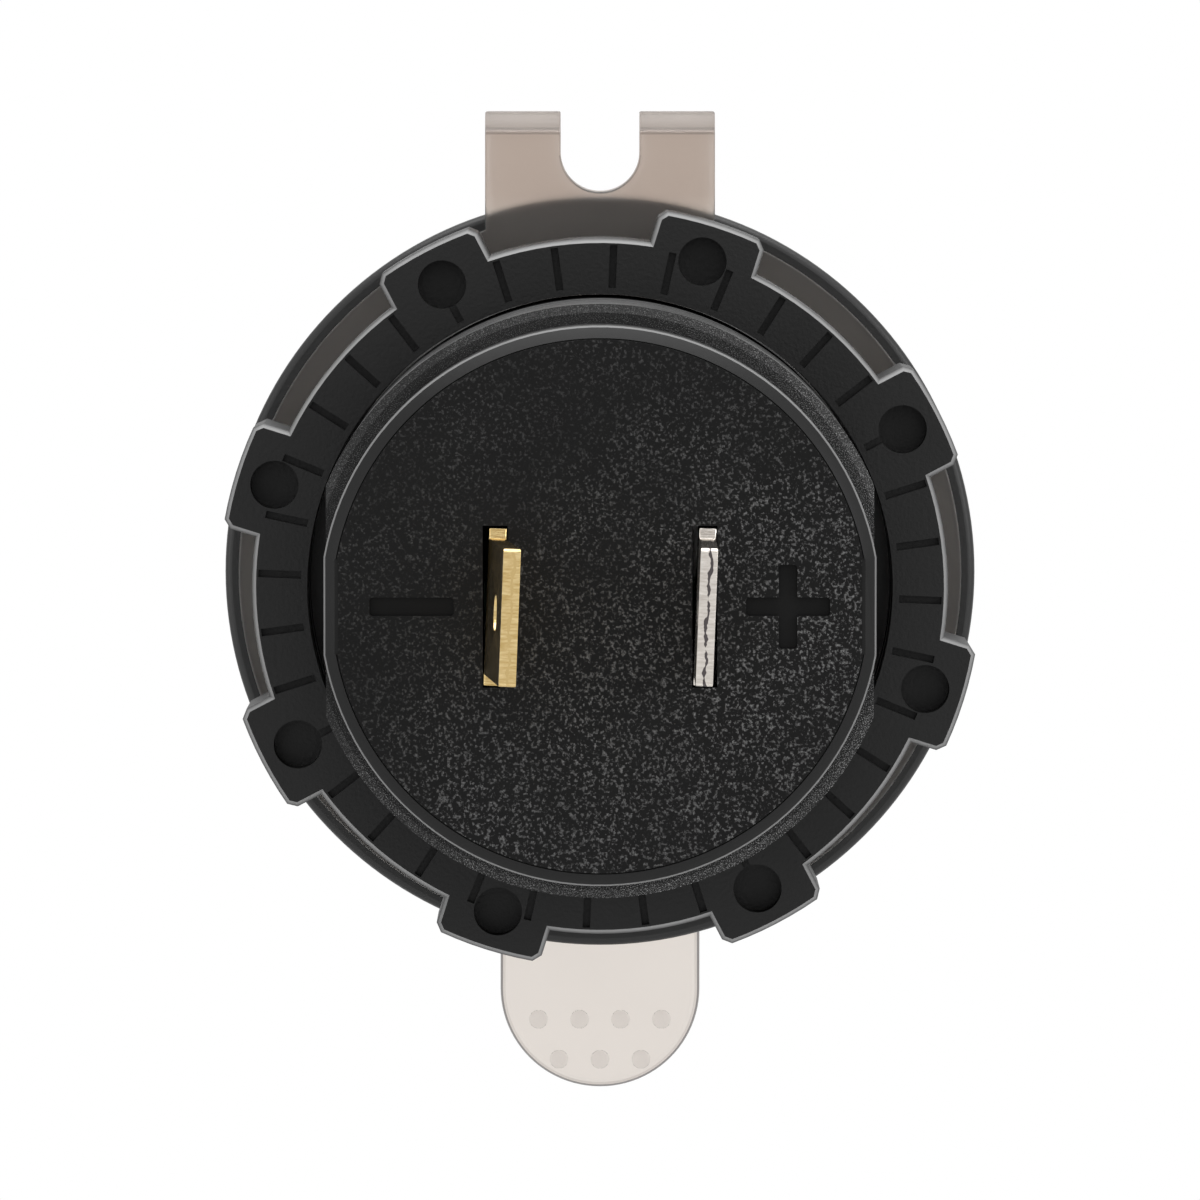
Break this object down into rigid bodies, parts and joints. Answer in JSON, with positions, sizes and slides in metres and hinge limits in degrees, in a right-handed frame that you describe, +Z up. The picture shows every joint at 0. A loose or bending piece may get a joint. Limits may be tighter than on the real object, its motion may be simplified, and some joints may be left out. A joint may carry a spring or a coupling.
{
  "type": "usb charging socket",
  "caption": "Panel-mounted round USB charging socket: flanged threaded barrel with lobed ring nut, hinged clear dust cap, stacked ports in front and blade terminals behind",
  "frame": {"origin": "on the barrel's axis, in the plane where the panel's front face meets the ring behind the flange", "axes": "+Y along the barrel to the terminals, +Z up to the dust cap's hinge, +X to the right seen from the front"},
  "size_m": [0.037, 0.0455, 0.0485],
  "materials": {
    "black_moulding": "matt black moulded plastic",
    "cover_moulding": "black plastic with a coarse spark-eroded grain",
    "nut_moulding": "matt black moulded plastic",
    "smoke_elastomer": "soft clear smoke-coloured elastomer, satin",
    "brass_blade": "bare stamped brass",
    "tinned_blade": "tin-plated stamped blade",
    "board_laminate": "green solder resist",
    "ferrite": "moulded ferrite",
    "capacitor_can": "bare can",
    "chip_moulding": "black moulded package",
    "light_moulding": "pale moulded package",
    "clear_guide": "clear rod",
    "shell_steel": "nickel-plated sheet",
    "tongue_plastic": "white moulded plastic",
    "contact_metal": "gold-flashed contacts"
  },
  "bodies": {
    "socket": {"housing": "black_moulding", "face_plate": "black_moulding", "rear_cover": "cover_moulding", "cap_ring": "smoke_elastomer", "hinge_strap": "smoke_elastomer", "negative_terminal": "brass_blade", "positive_terminal": "tinned_blade", "circuit_board": "board_laminate", "choke": "ferrite", "input_capacitor": "capacitor_can", "output_capacitor": "capacitor_can", "converter_chip": "chip_moulding", "charge_control_chip": "chip_moulding", "rectifier_diode": "chip_moulding", "indicator_light": "light_moulding", "light_guide": "clear_guide", "upper_port_shell": "shell_steel", "upper_port_tongue": "tongue_plastic", "upper_port_contacts": "contact_metal", "lower_port_shell": "shell_steel", "lower_port_tongue": "tongue_plastic", "lower_port_contacts": "contact_metal"},
    "nut": {"ring_nut": "nut_moulding"},
    "cap": {"dust_cap": "smoke_elastomer"}
  },
  "joints": [
    {"name": "cap_hinge", "type": "hinge", "parent": "socket", "child": "cap", "pos_m": [0, -0.00265, 0.02225], "axis": [-1, 0, 0], "range_deg": [0, 160], "deforming": ["hinge_strap"]},
    {"name": "nut_travel", "type": "slide", "parent": "socket", "child": "nut", "axis": [0, 1, 0], "range_m": [-0.0069, 0.0335]}
  ]
}
